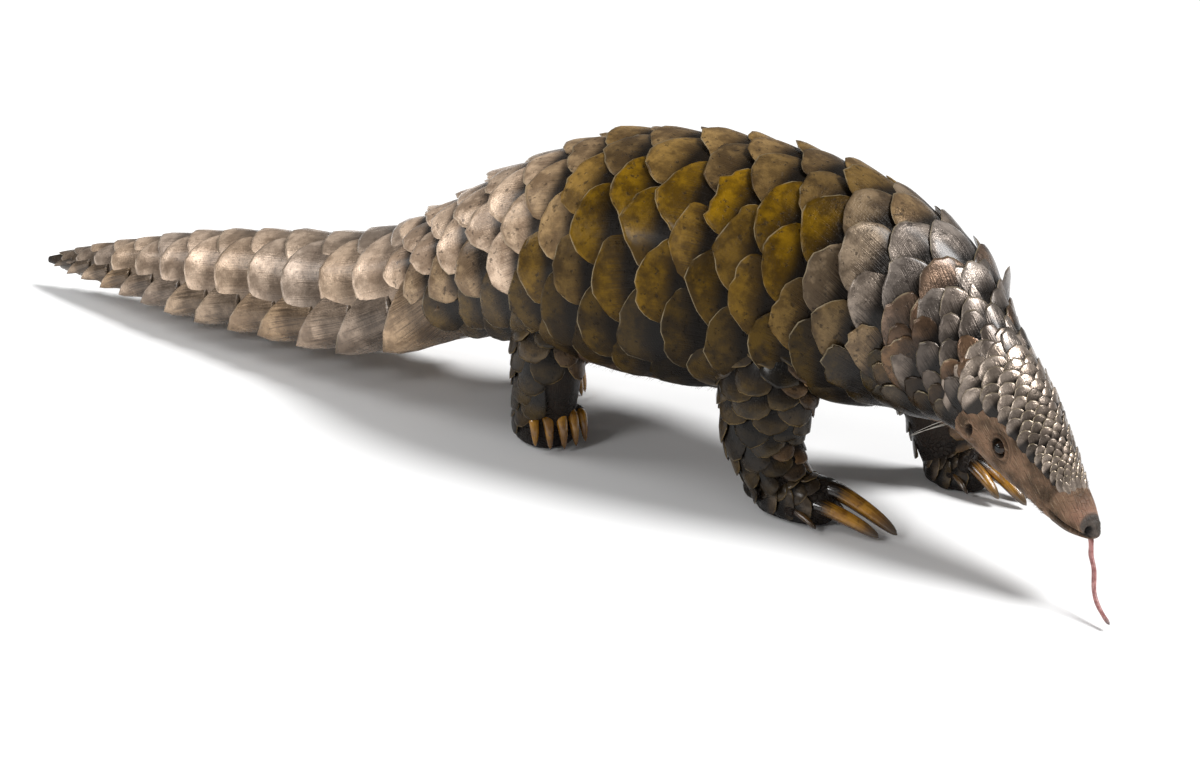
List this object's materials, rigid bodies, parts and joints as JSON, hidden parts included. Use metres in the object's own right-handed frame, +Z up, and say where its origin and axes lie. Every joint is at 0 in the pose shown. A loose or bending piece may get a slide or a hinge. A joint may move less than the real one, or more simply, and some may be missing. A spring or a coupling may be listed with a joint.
{
  "type": "pangolin",
  "caption": "Life-size still model of a scaly pangolin standing on four clawed feet, tail held low behind, head turned down and aside, thin tongue out.",
  "frame": {"origin": "middle of the footprint box on the floor", "axes": "+X towards the head, +Y to the animal's left, +Z up"},
  "size_m": [0.9866, 0.203, 0.2419],
  "materials": {
    "olive_scales": "horny overlapping scales, olive brown, satin with worn pale rims",
    "grey_scales": "horny overlapping scales, grey brown, finely ribbed, satin",
    "tail_scales": "horny overlapping scales, pinkish grey tan, satin",
    "leg_scales": "small rounded horny scales, dark grey brown with ochre rims",
    "face_skin": "bare tan skin with sparse short hair",
    "claws": "amber horn, dark at the base, worn tips",
    "eyes": "glossy dark brown to black",
    "tongue": "moist pink"
  },
  "bodies": {
    "root": {"head": "face_skin", "ear_left": "face_skin", "ear_right": "face_skin", "neck": "grey_scales", "torso": "olive_scales", "tail_base": "tail_scales", "tail_middle": "tail_scales", "tail_end": "tail_scales", "foreleg_right": "leg_scales", "foreleg_left": "leg_scales", "hindleg_right": "leg_scales", "hindleg_left": "leg_scales", "forefoot_right": "leg_scales", "forefoot_left": "leg_scales", "hindfoot_right": "leg_scales", "hindfoot_left": "leg_scales", "forefoot_right_claw_thumb": "claws", "forefoot_right_claw_second": "claws", "forefoot_right_claw_third": "claws", "forefoot_right_claw_fourth": "claws", "forefoot_right_claw_fifth": "claws", "forefoot_left_claw_thumb": "claws", "forefoot_left_claw_second": "claws", "forefoot_left_claw_third": "claws", "forefoot_left_claw_fourth": "claws", "forefoot_left_claw_fifth": "claws", "hindfoot_right_claw_first": "claws", "hindfoot_right_claw_second": "claws", "hindfoot_right_claw_third": "claws", "hindfoot_right_claw_fourth": "claws", "hindfoot_right_claw_fifth": "claws", "hindfoot_left_claw_first": "claws", "hindfoot_left_claw_second": "claws", "hindfoot_left_claw_third": "claws", "hindfoot_left_claw_fourth": "claws", "hindfoot_left_claw_fifth": "claws", "eye_left": "eyes", "eye_right": "eyes", "tongue": "tongue"}
  },
  "joints": []
}
